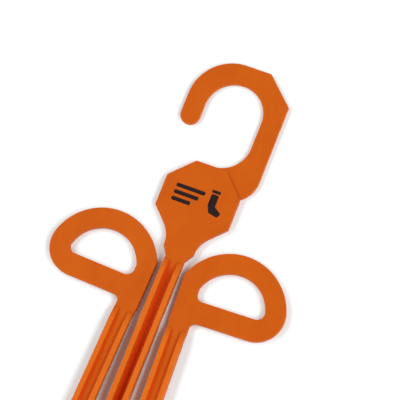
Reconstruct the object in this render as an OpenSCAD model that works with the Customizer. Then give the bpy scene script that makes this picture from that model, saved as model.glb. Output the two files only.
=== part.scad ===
// Hanging sock aid. A ribbed stem carries a hanging hook and ends in a rounded foot.
// Two ribbed arms with finger grips pivot in the foot and spread the sock's opening.
// It lies on its flat back: X across, Y along the stem with the hook at +Y, Z up.
// The origin is at the middle of the length and width, on the surface it lies on.

/* [Overall] */
// Length from the end of the foot to the top of the hook
total_len = 420; // [400:5:440]
// Thickness of the grips and of the octagonal plate
plate_t = 4; // [3.6:0.1:4.4]
// Height of the ribs over the lower part of the stem and arms
rib_top = 8.2; // [7.8:0.1:8.2]
// Thickness of each rib
rib_w = 3.2; // [2.4:0.1:3.6]

/* [Hook] */
// Outer width of the hook
hook_w = 65.4; // [62:0.2:69]
// Width of the hook's flat band
hook_band = 13; // [12:0.1:14]
// Thickness of the hook
hook_t = 2.8; // [2.4:0.1:3]
// Height of the hook's top above the centre of the octagon
hook_rise = 95.4; // [93:0.2:98]
// Height of the hook's tip above the centre of the octagon
tip_rise = 46.2; // [42:0.2:49]
// Radius of the round outer corner over the hook's tip
hook_round = 29.5; // [27:0.5:31]

/* [Stem] */
// Width of the octagonal plate across its flats
oct_w = 50.6; // [49:0.2:53]
// Width of the neck below the octagon
neck_w = 20.4; // [19:0.2:23]
// Width of the ribbed stem
stem_w = 12.8; // [12:0.1:13.2]

/* [Arms] */
// Width of a ribbed arm
arm_w = 13.2; // [12.4:0.1:14]
// Lean of each closed arm towards the stem, in degrees
arm_lean = 2.2; // [2:0.1:2.5]
// How far each arm opens, in degrees
arm_open = 25; // [10:1:25]
// Drop from the centre of the octagon to the lower edge of the grips
grip_drop = 74.6; // [73:0.2:80]
// Outer radius of a grip
grip_r = 37.2; // [36.5:0.1:38]
// Radius of the finger hole
hole_r = 24; // [22:0.2:24.6]

/* [Foot] */
// Distance of each pivot from the centreline
pivot_x = 27.2; // [27:0.1:30]
// Distance from the pivots down to the end of the foot
foot_drop = 16; // [15:0.5:18]
// Thickness of the foot
foot_t = 11.4; // [11.4:0.1:12.4]
// Thickness of each half of the foot over its faces
cheek_t = 2.4; // [2.2:0.1:2.6]
// Radius of the pivot pins
pin_r = 3; // [2.5:0.1:3.2]

/* [Hidden] */
$fn = 96;
e = 0.01;
ORANGE = [0.82, 0.36, 0.07];
STEEL = [0.72, 0.73, 0.75];

oct_y = total_len / 2 - hook_rise;
pivot_y = -total_len / 2 + foot_drop;

// Hook, in coordinates centred on the octagon. Round stretches stand this little
// proud of the straight edges they run into, so that the two cross cleanly.
proud = 0.02;
hook_r = hook_w / 2;
hook_in_r = hook_r - hook_band;
hook_crown = 0.4;
hook_in_y = hook_rise - hook_band - hook_crown - hook_in_r;
hook_round_c = [hook_round - hook_r, hook_rise - hook_round];
hook_chamfer = [18.6, 17.2];
root_out_r = 18;
root_y = oct_w / 2;
root_out_c = [hook_r - root_out_r + proud, root_y + 0.2];
tongue = [-12, -9];
tongue_r = 4;
peg_r = 2;
peg_low = 0.4;
pegs = [[-6, 15], [-6, -3], [12, -3]];
peg_gap = 0.05;
pocket_gap = 0.05;
pocket_z = hook_t + pocket_gap;

// Neck
neck_r = 18;
neck_top = -oct_w * 0.4;
neck_end = -oct_w * 0.664;
chamfer_end = neck_end - 6;
plate_lap = 4;

// Ribs step up out of the plate, ramp up and then run on along a long slope
rib_step = 1;
ramp_len = 9;
ramp_z = 6.4;
slope_len = 80;
floor_z = 2.8;
floor_ramp = 8.6;
stem_low = 0.4;
arm_low = 1.6;
low_ramp = 6;

// Foot
lobe_r = 11.8;
hub_r = 8.6;
hub_gap = 0.3;
hub_z = cheek_t + hub_gap;
lid_z = foot_t - cheek_t;
washer_t = 0.6;
washer_r = 6.5;
washer_gap = 0.15;
hub_top = lid_z - washer_t - washer_gap;
pin_gap = 0.05;
pin_head_r = 4.8;
pin_head_t = 1.2;
wall_t = 2.2;
tab_w = stem_w + 2 * wall_t + 4;
tab_top = 27;
tab_r = 4;
sole_c = (pow(pivot_x, 2) - pow(foot_drop - lobe_r, 2)) / (2 * (foot_drop - lobe_r));
sole_r = sole_c + foot_drop;
screws = [-5, 19];
boss_r = 3.2;
screw_r = 1.5;
screw_head_r = 2.8;
screw_head_t = 1.5;
screw_len = 7.4;

// Arms, in coordinates centred on the pivot and running up +Y
arm_len = (oct_y - grip_drop - pivot_y) / cos(arm_lean);
arm_out = lobe_r + 1.6;
arm_block = 8;
rib_start = arm_len - 6.6;
arm_lap = 4;
web_start = plate_t + 0.3;
web_end = 5.2;
grip_lap = 0.5;
grip_c = [34.2, 14];
grip_corner_r = 19;
hole_c = [34.1, 14.2];
hole_flat = 14.3;
hole_side = 11.6;
hole_corner_r = 5;
fillet_r = 4.5;
fillet_in = 0.2;

// Turns a point about the origin
function turn(p, a) = [p[0] * cos(a) - p[1] * sin(a), p[0] * sin(a) + p[1] * cos(a)];

// Extrudes an outline drawn in Y and Z across the width w, centred on X = 0
module across(w) {
    translate([-w / 2, 0, 0])
        rotate([90, 0, 90])
            linear_extrude(w)
                children();
}

// Extrudes each of the outlines to the height h and joins them
module slabs(h) {
    for (i = [0 : $children - 1])
        linear_extrude(h) children(i);
}

// A disc with the corner between it and the straight edge Y = flat rounded off.
// c is the disc's centre, r its radius, k the corner's radius, side is 1 or -1.
module corner_waste(c, r, flat, k, side) {
    reach = sqrt(pow(r - k, 2) - pow(flat + k - c[1], 2));
    centre = [c[0] + side * reach, flat + k];
    far = (centre - c) * (r + k) / (r - k) + c;
    difference() {
        polygon([centre, [centre[0], flat - 1], [far[0], flat - 1], far]);
        translate(centre) circle(k);
    }
}

// ---------------------------------------------------------------- hook

// The hook's root: the round lobe that runs into the plate, and the tongue behind it
module hook_root_2d(gap) {
    high = root_y - 3;
    r = tongue_r;
    translate(root_out_c) circle(root_out_r + gap);
    translate([tongue[0] - gap, tongue[1] + r])
        square([hook_in_r - tongue[0] + 2 * gap, high - tongue[1] - 2 * r]);
    translate([tongue[0] + r, tongue[1] - gap])
        square([hook_in_r - tongue[0] - 2 * r, high - tongue[1] + 2 * gap]);
    for (x = [tongue[0] + r, hook_in_r - r], y = [tongue[1] + r, high - r])
        translate([x, y]) circle(r + gap);
}

// The open space inside the hook, down to the top edge of the octagon
module hook_space_2d() {
    low_y = root_y + hook_in_r;
    translate([0, hook_in_y]) circle(hook_in_r);
    translate([-hook_in_r, low_y]) square([2 * hook_in_r, hook_in_y - low_y]);
    translate([-hook_in_r, root_y]) square([hook_in_r, hook_in_y - root_y]);
    translate([0, low_y]) circle(hook_in_r);
}

module hook() {
    leg_top = tip_rise + hook_band / 2;
    lap = 2;
    color(ORANGE)
        translate([0, oct_y, 0]) {
            difference() {
                slabs(hook_t) {
                    intersection() {
                        translate(hook_round_c) circle(hook_round);
                        translate([-hook_r, hook_round_c[1] - lap])
                            square([hook_round + lap, hook_round + lap]);
                    }
                    polygon([
                        [hook_round_c[0] - lap, root_out_c[1]],
                        [hook_round_c[0] - lap, hook_round_c[1]],
                        [hook_round_c[0], hook_rise - proud],
                        [hook_r - hook_chamfer[0], hook_rise - proud],
                        [hook_r, hook_rise - hook_chamfer[1]], [hook_r, root_out_c[1]]
                    ]);
                    translate([-hook_r, leg_top])
                        square([hook_r, hook_round_c[1] - leg_top]);
                    hook_root_2d(0);
                }
                translate([0, 0, -1]) linear_extrude(hook_t + 2) hook_space_2d();
                for (p = pegs)
                    translate([p[0], p[1], -1]) cylinder(r = peg_r + peg_gap, h = hook_t + 2);
            }
            translate([hook_band / 2 - hook_r, leg_top, 0])
                cylinder(r = hook_band / 2, h = hook_t);
        }
}

// ---------------------------------------------------------------- stem

module octagon_2d() {
    rotate(22.5)
        circle(oct_w / 2 / cos(22.5), $fn = 8);
}

// Concave curve from the octagon's slanted edge into the side of the neck
module neck_curve_2d() {
    half = neck_w / 2;
    corner_y = half - oct_w * (1 + tan(22.5)) / 2;
    run = neck_r * tan(22.5);
    centre = [half + neck_r, corner_y - run];
    difference() {
        polygon([
            [half - e, corner_y - run], [half - e, corner_y],
            [half + run * cos(45), corner_y + run * sin(45)], centre
        ]);
        translate(centre) circle(neck_r);
    }
}

module stem_plate_2d() {
    octagon_2d();
    polygon([
        [-neck_w / 2, neck_top], [-neck_w / 2, neck_end],
        [-stem_w / 2, chamfer_end], [-stem_w / 2, chamfer_end - plate_lap],
        [stem_w / 2, chamfer_end - plate_lap], [stem_w / 2, chamfer_end],
        [neck_w / 2, neck_end], [neck_w / 2, neck_top]
    ]);
    neck_curve_2d();
    mirror([1, 0]) neck_curve_2d();
}

// Side view of the ribbed stem: ramp, slope, full height, then the block in the foot
module stem_side_2d() {
    top = oct_y + chamfer_end - 1;
    out = pivot_y + tab_top + 1;
    polygon([
        [top, 0], [top, plate_t], [top - rib_step, plate_t + rib_step],
        [top - ramp_len, ramp_z], [top - ramp_len - slope_len, rib_top],
        [out, rib_top], [out, lid_z], [pivot_y - arm_block, lid_z],
        [pivot_y - arm_block, cheek_t], [out, cheek_t], [out, stem_low],
        [top - low_ramp, stem_low]
    ]);
}

module stem_channel_2d() {
    top = oct_y + chamfer_end - 1;
    end = pivot_y + tab_top + 4;
    polygon([
        [top, plate_t], [top - floor_ramp, floor_z], [end, floor_z],
        [end, rib_top + 1], [top, rib_top + 1]
    ]);
}

module stem() {
    color(ORANGE) {
        difference() {
            union() {
                translate([0, oct_y, 0])
                    linear_extrude(plate_t)
                        stem_plate_2d();
                across(stem_w) stem_side_2d();
            }
            across(stem_w - 2 * rib_w) stem_channel_2d();
            translate([0, oct_y, -1])
                linear_extrude(pocket_z + 1)
                    hook_root_2d(pocket_gap);
            for (y = screws)
                translate([0, pivot_y + y, 0])
                    cylinder(r = boss_r + pin_gap, h = foot_t);
        }
        for (p = pegs)
            translate([p[0], oct_y + p[1], peg_low])
                cylinder(r = peg_r, h = pocket_z - peg_low + e);
    }
}

// ---------------------------------------------------------------- arms

module arm_bar_2d(inset) {
    translate([inset - arm_w / 2, 0])
        square([arm_w - 2 * inset, arm_len + arm_lap]);
}

// A grip in its own coordinates: X outwards from the plate's inner edge, Y upwards
module grip_2d() {
    side = grip_lap + arm_w;
    difference() {
        intersection() {
            translate(grip_c) circle(grip_r);
            square(3 * grip_r);
        }
        corner_waste(grip_c, grip_r, 0, grip_corner_r, 1);
    }
    difference() {
        translate([0, -fillet_r]) square([side - fillet_in + fillet_r, fillet_r + 1]);
        translate([side - fillet_in + fillet_r, -fillet_r]) circle(fillet_r);
    }
}

module finger_hole_2d() {
    inner = [hole_side + hole_corner_r, hole_flat + hole_corner_r];
    difference() {
        translate(hole_c) circle(hole_r);
        translate([0, hole_flat - grip_r]) square([3 * grip_r, grip_r]);
        translate([hole_side - grip_r, 0]) square([grip_r, 3 * grip_r]);
        corner_waste(hole_c, hole_r, hole_flat, hole_corner_r, 1);
        difference() {
            translate([hole_side - 1, hole_flat - 1]) square(hole_corner_r + 1);
            translate(inner) circle(hole_corner_r);
        }
    }
}

module arm_side_2d() {
    polygon([
        [rib_start, 0], [arm_len + arm_lap, 0],
        [arm_len + arm_lap, plate_t], [rib_start, plate_t],
        [rib_start - rib_step, plate_t + rib_step],
        [rib_start - ramp_len, ramp_z],
        [rib_start - ramp_len - slope_len, rib_top],
        [0, rib_top], [0, hub_z], [arm_out, hub_z], [arm_out, arm_low],
        [rib_start - low_ramp, arm_low]
    ]);
}

module arm_channel_2d() {
    polygon([
        [rib_start, plate_t], [rib_start, rib_top + 1], [arm_out + 3, rib_top + 1],
        [arm_out + 3, web_end], [rib_start - ramp_len - slope_len, web_end],
        [rib_start - ramp_len, web_start]
    ]);
}

// The right arm, pointing up +Y from a pivot at the origin
module arm_shape() {
    difference() {
        union() {
            intersection() {
                linear_extrude(foot_t) arm_bar_2d(0);
                across(2 * arm_w) arm_side_2d();
            }
            translate([-arm_w / 2 - grip_lap, arm_len, 0])
                linear_extrude(plate_t) grip_2d();
            translate([0, 0, hub_z]) cylinder(r = hub_r, h = hub_top - hub_z);
        }
        intersection() {
            linear_extrude(foot_t + 1) arm_bar_2d(rib_w);
            across(2 * arm_w) arm_channel_2d();
        }
        translate([-arm_w / 2 - grip_lap, arm_len, -1])
            linear_extrude(plate_t + 2) finger_hole_2d();
        cylinder(r = pin_r + pin_gap, h = foot_t);
    }
}

module right_arm() {
    color(ORANGE)
        translate([pivot_x, pivot_y, 0])
            rotate(arm_lean)
                arm_shape();
}

module left_arm() {
    color(ORANGE)
        mirror([1, 0, 0])
            translate([pivot_x, pivot_y, 0])
                rotate(arm_lean)
                    arm_shape();
}

// ---------------------------------------------------------------- foot

// Outline of the foot in coordinates centred between the pivots
module foot_2d(inset) {
    reach = foot_drop * 2;
    dir = [pivot_x, -sole_c] / norm([pivot_x, -sole_c]);
    for (s = [-1, 1])
        translate([s * pivot_x, 0]) circle(lobe_r - inset);
    translate([-pivot_x, -lobe_r / 2])
        square([2 * pivot_x, 1.5 * lobe_r - inset]);
    intersection() {
        translate([0, sole_c]) circle(sole_r - inset);
        polygon([
            [-pivot_x, 0], [-pivot_x - dir[0] * reach, dir[1] * reach],
            [pivot_x + dir[0] * reach, dir[1] * reach], [pivot_x, 0]
        ]);
    }
    translate([-tab_w / 2 + inset, 0])
        square([tab_w - 2 * inset, tab_top - tab_r]);
    translate([-tab_w / 2 + tab_r, 0])
        square([tab_w - 2 * tab_r, tab_top - inset]);
    for (s = [-1, 1])
        translate([s * (tab_w / 2 - tab_r), tab_top - tab_r])
            circle(tab_r - inset);
}

// Room for the right arm between its closed and open positions
module arm_room_2d() {
    gap = 0.35;
    half = arm_w / 2 + gap;
    far = 3 * lobe_r;
    closed = arm_lean;
    open = arm_lean - arm_open - 0.6;
    translate([pivot_x, 0]) {
        polygon([
            turn([-half, 0], closed), turn([-half, far], closed),
            turn([half, far], open), turn([half, 0], open)
        ]);
        circle(hub_r + gap);
    }
}

module foot_walls_2d() {
    difference() {
        foot_2d(0);
        difference() {
            foot_2d(wall_t);
            translate([-tab_w / 2, 0]) square([tab_w, tab_top]);
        }
        arm_room_2d();
        mirror([1, 0]) arm_room_2d();
        translate([-stem_w / 2, -arm_block]) square([stem_w, 2 * tab_top]);
    }
}

module foot_back() {
    color(ORANGE)
        translate([0, pivot_y, 0])
            difference() {
                union() {
                    linear_extrude(cheek_t) foot_2d(0);
                    linear_extrude(lid_z) foot_walls_2d();
                    for (y = screws)
                        translate([0, y, 0]) cylinder(r = boss_r, h = lid_z);
                }
                for (s = [-1, 1])
                    translate([s * pivot_x, 0, 0]) {
                        translate([0, 0, -1]) cylinder(r = pin_r, h = foot_t);
                        translate([0, 0, -1]) cylinder(r = pin_head_r, h = pin_head_t + 1);
                    }
                for (y = screws)
                    translate([0, y, foot_t - screw_head_t - screw_len])
                        cylinder(r = screw_r, h = foot_t);
            }
}

module foot_front() {
    color(ORANGE)
        translate([0, pivot_y, 0])
            difference() {
                translate([0, 0, lid_z]) linear_extrude(cheek_t) foot_2d(0);
                for (s = [-1, 1])
                    translate([s * pivot_x, 0, 0]) {
                        cylinder(r = pin_r, h = foot_t + 1);
                        translate([0, 0, foot_t - pin_head_t])
                            cylinder(r = pin_head_r, h = foot_t);
                    }
                for (y = screws)
                    translate([0, y, 0]) {
                        cylinder(r = screw_r, h = foot_t + 1);
                        translate([0, 0, foot_t - screw_head_t])
                            cylinder(r = screw_head_r, h = foot_t);
                    }
            }
}

// ---------------------------------------------------------------- hardware

// A rivet with a head sunk in each face of the foot
module pivot_pin(side) {
    color(STEEL)
        translate([side * pivot_x, pivot_y, 0]) {
            cylinder(r = pin_r, h = foot_t - 0.1);
            cylinder(r = pin_head_r, h = pin_head_t);
            translate([0, 0, foot_t - pin_head_t])
                cylinder(r = pin_head_r, h = pin_head_t - 0.1);
        }
}

module left_pivot_pin() {
    pivot_pin(-1);
}

module right_pivot_pin() {
    pivot_pin(1);
}

// A spring washer that presses on the arm's hub, so that the arm stays where it is put
module friction_washer(side) {
    color(STEEL)
        translate([side * pivot_x, pivot_y, lid_z - washer_t])
            difference() {
                cylinder(r = washer_r, h = washer_t);
                translate([0, 0, -1]) cylinder(r = pin_r, h = washer_t + 2);
            }
}

module left_friction_washer() {
    friction_washer(-1);
}

module right_friction_washer() {
    friction_washer(1);
}

module foot_screws() {
    slot = [0.8, 3.4];
    color(STEEL)
        for (y = screws)
            translate([0, pivot_y + y, foot_t - screw_head_t])
                difference() {
                    union() {
                        translate([0, 0, -screw_len]) cylinder(r = screw_r, h = screw_len + e);
                        cylinder(r = screw_head_r, h = screw_head_t - 0.1);
                    }
                    for (a = [0, 90])
                        rotate(a)
                            translate([-slot[0] / 2, -slot[1] / 2, screw_head_t - 0.9])
                                cube([slot[0], slot[1], 2]);
                }
}

stem();
hook();
left_arm();
right_arm();
foot_back();
foot_front();
left_pivot_pin();
right_pivot_pin();
left_friction_washer();
right_friction_washer();
foot_screws();
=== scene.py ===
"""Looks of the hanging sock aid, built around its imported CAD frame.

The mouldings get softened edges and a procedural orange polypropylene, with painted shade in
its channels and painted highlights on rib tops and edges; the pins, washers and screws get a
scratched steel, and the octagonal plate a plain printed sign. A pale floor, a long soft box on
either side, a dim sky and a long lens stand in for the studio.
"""

import math

import bmesh
import bpy
from mathutils import Matrix, Vector

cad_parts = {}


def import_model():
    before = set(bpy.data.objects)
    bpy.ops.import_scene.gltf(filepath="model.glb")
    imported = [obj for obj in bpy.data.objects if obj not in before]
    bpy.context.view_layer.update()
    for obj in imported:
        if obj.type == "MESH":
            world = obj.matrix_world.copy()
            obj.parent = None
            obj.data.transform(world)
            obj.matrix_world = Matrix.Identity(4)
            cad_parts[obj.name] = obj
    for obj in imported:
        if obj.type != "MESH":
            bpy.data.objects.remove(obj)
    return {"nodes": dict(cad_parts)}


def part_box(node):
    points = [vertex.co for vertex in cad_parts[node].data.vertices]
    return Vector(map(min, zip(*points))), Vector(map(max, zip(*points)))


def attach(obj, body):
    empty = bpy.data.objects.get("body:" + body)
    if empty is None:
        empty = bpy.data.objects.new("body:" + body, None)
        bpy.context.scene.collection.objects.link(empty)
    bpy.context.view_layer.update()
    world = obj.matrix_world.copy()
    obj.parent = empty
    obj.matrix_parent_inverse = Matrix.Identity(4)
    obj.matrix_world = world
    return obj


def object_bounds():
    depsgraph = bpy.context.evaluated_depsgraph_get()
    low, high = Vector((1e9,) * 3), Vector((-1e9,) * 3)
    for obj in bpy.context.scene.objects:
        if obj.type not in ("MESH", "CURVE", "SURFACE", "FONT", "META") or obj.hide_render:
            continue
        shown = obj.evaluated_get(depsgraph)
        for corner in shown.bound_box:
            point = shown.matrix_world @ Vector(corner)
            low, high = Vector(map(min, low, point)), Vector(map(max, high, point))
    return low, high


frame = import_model()
cad_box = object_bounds()

MM = 0.001
PLATE_T = 4.0 * MM
INK_T = 0.05 * MM
INK_SUNK = 0.01 * MM

# How far a CAD edge is rounded, on the mouldings and on the metal
PLASTIC_EDGE = 0.35 * MM
METAL_EDGE = 0.12 * MM

# Heights between which the ribs' tops are painted paler, a painted highlight and a little
# rubbing
CREST_LOW = 5.2 * MM
CREST_HIGH = 6.6 * MM

# How far off a wall still makes a place count as a channel for the painted shade, and how much
# a level face is taken to be deeper than it is
CHANNEL_REACH = 7.0 * MM
FLOOR_EARLIER = 0.36
MOULDINGS = ("stem", "hook", "left_arm", "right_arm", "foot_back", "foot_front")
HARDWARE = (
    "left_pivot_pin",
    "right_pivot_pin",
    "left_friction_washer",
    "right_friction_washer",
    "foot_screws",
)

# The octagon ends the stem at the top, and its half width is the stem's largest X
stem_low, stem_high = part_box("stem")
OCT_HALF = stem_high.x
OCTAGON = Vector((0.0, stem_high.y - OCT_HALF, PLATE_T))


# ---------------------------------------------------------------- node helpers


class Nodes:
    """Adds nodes to one material and links them."""

    def __init__(self, name):
        self.material = bpy.data.materials.new(name)
        self.material.use_nodes = True
        self.tree = self.material.node_tree
        self.shader = self.tree.nodes["Principled BSDF"]

    def add(self, kind, inputs=None, **settings):
        node = self.tree.nodes.new(kind)
        for key, value in settings.items():
            setattr(node, key, value)
        for key, value in (inputs or {}).items():
            self.put(node.inputs[key], value)
        return node

    def put(self, socket, value):
        if isinstance(value, bpy.types.NodeSocket):
            self.tree.links.new(value, socket)
        else:
            socket.default_value = value

    def noise(self, place, scale, detail=3.0, rough=0.55, distortion=0.0):
        node = self.add(
            "ShaderNodeTexNoise",
            {
                "Vector": place,
                "Scale": scale,
                "Detail": detail,
                "Roughness": rough,
                "Distortion": distortion,
            },
        )
        return node.outputs["Fac"]

    def span(self, value, low, high, to_low=0.0, to_high=1.0):
        node = self.add(
            "ShaderNodeMapRange",
            {
                "Value": value,
                "From Min": low,
                "From Max": high,
                "To Min": to_low,
                "To Max": to_high,
            },
        )
        return node.outputs["Result"]

    def mix(self, factor, a, b):
        node = self.add("ShaderNodeMix", data_type="RGBA")
        self.put(node.inputs[0], factor)
        self.put(node.inputs[6], a)
        self.put(node.inputs[7], b)
        return node.outputs[2]

    def math(self, operation, a, b):
        node = self.add("ShaderNodeMath", operation=operation)
        self.put(node.inputs[0], a)
        self.put(node.inputs[1], b)
        return node.outputs[0]

    def bump(self, height, strength, distance, below=None):
        inputs = {"Height": height, "Strength": strength, "Distance": distance}
        if below is not None:
            inputs["Normal"] = below
        return self.add("ShaderNodeBump", inputs).outputs["Normal"]

    def finish(self, **sockets):
        for key, value in sockets.items():
            self.put(self.shader.inputs[key.replace("_", " ")], value)
        return self.material


# ---------------------------------------------------------------- materials


def orange_plastic(name, wear_and_sheen):
    """Matt moulded polypropylene: mottled colour, specks and fine grain, painted shade in the
    channels and a painted highlight with some rubbing on the rib tops. wear_and_sheen is how
    far the colour is turned towards a paler orange, in patches: rubbing, and a painted
    highlight on rounded edges."""
    n = Nodes(name)
    place = n.add("ShaderNodeTexCoord").outputs["Object"]
    stretched = n.add(
        "ShaderNodeMapping", {"Vector": place, "Scale": (1.0, 0.22, 1.0)}
    ).outputs["Vector"]

    clouds = n.span(n.noise(place, 38.0, detail=2.0), 0.35, 0.65)
    flow = n.span(n.noise(stretched, 120.0, detail=4.0, distortion=0.6), 0.3, 0.7)
    tone = n.math("ADD", n.math("MULTIPLY", clouds, 0.6), n.math("MULTIPLY", flow, 0.4))
    colour = n.mix(tone, (0.474, 0.080, 0.0016, 1), (0.515, 0.095, 0.0026, 1))

    # Paler orange in patches: rubbing, and on the rounded edges also a painted highlight
    patchy = n.span(n.noise(place, 260.0, detail=5.0), 0.38, 0.62, 0.3 * wear_and_sheen, wear_and_sheen)
    colour = n.mix(patchy, colour, (0.74, 0.20, 0.035, 1))

    cells = n.add("ShaderNodeTexVoronoi", {"Vector": place, "Scale": 150.0})
    speck = n.span(cells.outputs["Distance"], 0.035, 0.075, 1.0, 0.0)
    rare = n.span(n.noise(place, 55.0, detail=1.0), 0.56, 0.60)
    speck = n.math("MULTIPLY", n.math("MULTIPLY", speck, rare), 0.35)
    colour = n.mix(speck, colour, (0.30, 0.045, 0.004, 1))

    # Painted highlight and rubbing: the tops of the ribs stand highest, catch more light and
    # are rubbed, so they are painted a little paler by height
    high = n.add("ShaderNodeSeparateXYZ", {"Vector": place}).outputs["Z"]
    rib_top_highlight_and_wear = n.span(high, CREST_LOW, CREST_HIGH, 0.0, 0.28)
    colour = n.mix(rib_top_highlight_and_wear, colour, (0.82, 0.22, 0.018, 1))

    # Painted shade and bounce light: a channel well below open sky looks a dark, saturated red,
    # from the shade in it and the light that bounces about in it, and this colour paints that
    # in.
    # The floor is painted so from a shallower place than the walls are, and is painted darker
    # close to the walls.
    geometry = n.add("ShaderNodeNewGeometry")
    facing = n.add("ShaderNodeSeparateXYZ", {"Vector": geometry.outputs["Normal"]})
    level = n.math("ABSOLUTE", facing.outputs["Z"], 0.0)
    hollow = n.add(
        "ShaderNodeAmbientOcclusion", {"Distance": CHANNEL_REACH}, samples=8, only_local=True
    )
    earlier = n.math("MULTIPLY", level, FLOOR_EARLIER)
    open_sky = n.math("SUBTRACT", hollow.outputs["AO"], earlier)
    # Painted shade mask: how far a place lies in a channel's shade
    channel_shade = n.span(open_sky, 0.22, 0.38, 1.0, 0.0)
    middle = n.span(open_sky, 0.08, 0.22)
    channel = n.mix(middle, (0.68, 0.052, 0.0018, 1), (0.97, 0.062, 0.0018, 1))
    channel_shade_red = n.mix(level, (0.72, 0.050, 0.0018, 1), channel)
    colour = n.mix(channel_shade, colour, channel_shade_red)

    grain = n.noise(place, 1500.0, detail=4.0, rough=0.6)
    scuffs = n.noise(stretched, 420.0, detail=5.0, rough=0.7, distortion=0.3)
    sink = n.noise(place, 26.0, detail=1.0)
    rough = n.math(
        "ADD", n.span(grain, 0.3, 0.7, 0.42, 0.50), n.span(scuffs, 0.5, 0.8, 0.0, 0.12)
    )
    normal = n.bump(sink, 0.25, 0.0012)
    normal = n.bump(grain, 0.18, 0.00006, normal)
    normal = n.bump(scuffs, 0.10, 0.00005, normal)

    n.shader.subsurface_method = "RANDOM_WALK"
    return n.finish(
        Base_Color=colour,
        Roughness=rough,
        Normal=normal,
        IOR=1.45,
        Specular_IOR_Level=0.12,
        Subsurface_Weight=0.22,
        Subsurface_Radius=(1.0, 0.30, 0.08),
        Subsurface_Scale=0.0016,
    )


def steel():
    """Plain steel with fine scratches along one way and dull patches."""
    n = Nodes("steel")
    place = n.add("ShaderNodeTexCoord").outputs["Object"]
    fine = n.noise(place, 2600.0, detail=3.0)
    patches = n.noise(place, 420.0, detail=4.0)
    long_way = n.add(
        "ShaderNodeMapping", {"Vector": place, "Scale": (1.0, 9.0, 1.0)}
    ).outputs["Vector"]
    lines = n.noise(long_way, 900.0, detail=5.0, rough=0.65)
    colour = n.mix(n.span(patches, 0.35, 0.7), (0.60, 0.60, 0.61, 1), (0.42, 0.41, 0.40, 1))
    rough = n.math(
        "ADD", n.span(lines, 0.3, 0.7, 0.24, 0.36), n.span(patches, 0.45, 0.75, 0.0, 0.16)
    )
    normal = n.bump(lines, 0.22, 0.00003)
    normal = n.bump(fine, 0.12, 0.00002, normal)
    return n.finish(Base_Color=colour, Roughness=rough, Normal=normal, Metallic=1.0)


def print_ink():
    """Black pad-printing ink with a slightly uneven, thin coat."""
    n = Nodes("print_ink")
    place = n.add("ShaderNodeTexCoord").outputs["Object"]
    thin = n.span(n.noise(place, 700.0, detail=5.0, rough=0.7), 0.42, 0.70)
    colour = n.mix(thin, (0.006, 0.003, 0.003, 1), (0.022, 0.006, 0.005, 1))
    rough = n.span(n.noise(place, 1300.0, detail=3.0), 0.3, 0.7, 0.38, 0.55)
    normal = n.bump(n.noise(place, 2200.0, detail=2.0), 0.15, 0.00003)
    return n.finish(Base_Color=colour, Roughness=rough, Normal=normal, Specular_IOR_Level=0.2)


def floor_paper():
    """White studio paper, a little cool."""
    n = Nodes("floor_paper")
    place = n.add("ShaderNodeTexCoord").outputs["Object"]
    cloud = n.span(n.noise(place, 3.0, detail=2.0), 0.3, 0.7)
    colour = n.mix(cloud, (0.865, 0.920, 0.930, 1), (0.885, 0.940, 0.950, 1))
    normal = n.bump(n.noise(place, 900.0, detail=3.0), 0.04, 0.0001)
    return n.finish(Base_Color=colour, Roughness=0.9, Normal=normal, Specular_IOR_Level=0.1)


# ---------------------------------------------------------------- CAD nodes


def soften(obj, width):
    """Rounds the edges of a CAD node with modifiers, so that its own mesh stays as it is."""
    weld = obj.modifiers.new("weld", "WELD")
    weld.merge_threshold = 0.002 * MM
    flat = obj.modifiers.new("flat", "DECIMATE")
    flat.decimate_type = "DISSOLVE"
    flat.angle_limit = math.radians(0.6)
    bevel = obj.modifiers.new("round_edges", "BEVEL")
    bevel.width = width
    bevel.segments = 3
    bevel.limit_method = "ANGLE"
    bevel.angle_limit = math.radians(28)
    bevel.material = 1
    bevel.miter_outer = "MITER_ARC"
    level = obj.modifiers.new("flat_faces", "WEIGHTED_NORMAL")
    level.mode = "FACE_AREA"
    level.weight = 100
    for face in obj.data.polygons:
        face.use_smooth = True


def dress(names, faces, edges, width):
    """Gives each node one material on its faces and one on its rounded edges."""
    for name in names:
        obj = frame["nodes"][name]
        obj.data.materials.clear()
        obj.data.materials.append(faces)
        obj.data.materials.append(edges)
        soften(obj, width)


plastic = orange_plastic("orange_plastic", 0.0)
# The rounded edges are painted paler in patches, partly rubbing and partly a painted highlight
plastic_edge = orange_plastic("orange_plastic_edge", 0.5)
metal = steel()
ink = print_ink()
dress(MOULDINGS, plastic, plastic_edge, PLASTIC_EDGE)
dress(HARDWARE, metal, metal, METAL_EDGE)


# ---------------------------------------------------------------- printed sign


def rounded(points, radius, steps=5):
    """The outline through the points with every corner rounded to the radius."""
    out = []
    count = len(points)
    for i, corner in enumerate(points):
        corner = Vector(corner)
        before = (Vector(points[i - 1]) - corner).normalized()
        after = (Vector(points[(i + 1) % count]) - corner).normalized()
        half = before.angle(after) / 2
        reach = radius / math.tan(half)
        start, end = corner + before * reach, corner + after * reach
        for k in range(steps + 1):
            t = k / steps
            out.append(start.lerp(corner, t).lerp(corner.lerp(end, t), t))
    return out


def printed(name, outlines, height):
    """A thin coat of ink in the shape of the outlines, lying on the octagon."""
    mesh = bmesh.new()
    for outline in outlines:
        low = [mesh.verts.new((x * MM, y * MM, 0.0)) for x, y in outline]
        high = [mesh.verts.new((x * MM, y * MM, height)) for x, y in outline]
        mesh.faces.new(high)
        mesh.faces.new(list(reversed(low)))
        for i in range(len(outline)):
            j = (i + 1) % len(outline)
            mesh.faces.new((low[i], low[j], high[j], high[i]))
    data = bpy.data.meshes.new(name)
    mesh.to_mesh(data)
    mesh.free()
    data.transform(Matrix.Translation(OCTAGON - Vector((0, 0, INK_SUNK))))
    obj = bpy.data.objects.new(name, data)
    bpy.context.scene.collection.objects.link(obj)
    data.materials.append(ink)
    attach(obj, "stem")
    return obj


def bar(x0, x1, y, thick):
    low, high = y - thick / 2, y + thick / 2
    return rounded([(x0, low), (x1, low), (x1, high), (x0, high)], thick * 0.42)


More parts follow.
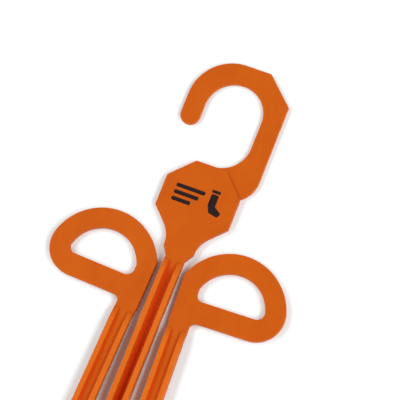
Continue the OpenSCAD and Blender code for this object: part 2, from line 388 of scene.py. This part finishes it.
# A plain sock beside three bars, in millimetres from the octagon's centre
SOCK = [
    (7.0, 8.2),
    (12.0, 8.2),
    (12.0, 0.6),
    (17.2, -2.6),
    (15.6, -5.6),
    (9.2, -4.4),
    (7.0, 0.4),
]
CUFF = [(6.6, 9.0), (12.4, 9.0), (12.4, 11.0), (6.6, 11.0)]
BAR_LEFT = -17.0
BAR_THICK = 2.6
BARS = [
    bar(BAR_LEFT, right, y, BAR_THICK) for right, y in ((3.0, 6.4), (0.0, 1.8), (-4.0, -2.8))
]
printed("print_sock", [rounded(SOCK, 1.0), rounded(CUFF, 0.6)], INK_T)
printed("print_bars", BARS, INK_T)


# ---------------------------------------------------------------- floor, light, camera


def floor():
    size = 3.0
    drop = 0.15 * MM
    mesh = bmesh.new()
    bmesh.ops.create_grid(mesh, x_segments=4, y_segments=4, size=size / 2)
    data = bpy.data.meshes.new("floor")
    mesh.to_mesh(data)
    mesh.free()
    obj = bpy.data.objects.new("floor", data)
    obj.location = (0.0, 0.0, -drop)
    bpy.context.scene.collection.objects.link(obj)
    data.materials.append(floor_paper())


def soft_box(name, side, rise, watts):
    """A long soft box beside the object and parallel to it, rise degrees above the table. side
    is +1 on the right and -1 on the left."""
    length, width, distance = 2.4, 0.80, 1.6
    away = Vector((side * math.cos(math.radians(rise)), 0.0, math.sin(math.radians(rise))))
    data = bpy.data.lights.new(name, "AREA")
    data.shape = "RECTANGLE"
    data.size = length
    data.size_y = width
    data.energy = watts
    obj = bpy.data.objects.new(name, data)
    obj.location = Vector((0.0, (cad_box[0].y + cad_box[1].y) / 2, 0.0)) + distance * away
    obj.rotation_euler = (-away).to_track_quat("-Z", "Y").to_euler()
    bpy.context.scene.collection.objects.link(obj)


def world(horizon, overhead):
    """A plain sky, pale along the horizon and dimmer from a low height up to overhead."""
    sky = bpy.data.worlds.new("studio")
    sky.use_nodes = True
    nodes, links = sky.node_tree.nodes, sky.node_tree.links
    split = nodes.new("ShaderNodeSeparateXYZ")
    links.new(nodes.new("ShaderNodeTexCoord").outputs["Generated"], split.inputs["Vector"])
    ramp = nodes.new("ShaderNodeMapRange")
    ramp.interpolation_type = "SMOOTHSTEP"
    for key, value in (
        ("From Min", 0.10),
        ("From Max", 0.45),
        ("To Min", horizon),
        ("To Max", overhead),
    ):
        ramp.inputs[key].default_value = value
    links.new(split.outputs["Z"], ramp.inputs["Value"])
    back = nodes["Background"]
    back.inputs["Color"].default_value = (1.0, 1.0, 1.0, 1.0)
    links.new(ramp.outputs["Result"], back.inputs["Strength"])
    bpy.context.scene.world = sky


def camera():
    """A long lens over the lower right, turned so that the hook points up to the right."""
    place = OCTAGON + Vector((0.3488, -0.2494, 1.5543))
    aim = OCTAGON + Vector((0.0012, 0.0017, 0.0))
    roll = math.radians(21.74)
    data = bpy.data.cameras.new("camera")
    data.sensor_width = 36.0
    data.lens = 225.9
    data.clip_start = 0.05
    data.clip_end = 20.0
    obj = bpy.data.objects.new("camera", data)
    back = (place - aim).normalized()
    right = Vector((0.0, 1.0, 0.0)).cross(back).normalized()
    look = Matrix((right, back.cross(right), back)).transposed().to_4x4()
    obj.matrix_world = Matrix.Translation(place) @ look @ Matrix.Rotation(roll, 4, "Z")
    bpy.context.scene.collection.objects.link(obj)
    bpy.context.scene.camera = obj


floor()
world(horizon=0.85, overhead=0.20)
soft_box("soft_box_right", 1, 44.0, 29.0)
soft_box("soft_box_left", -1, 44.0, 24.0)
camera()
bpy.context.scene.view_settings.view_transform = "Standard"
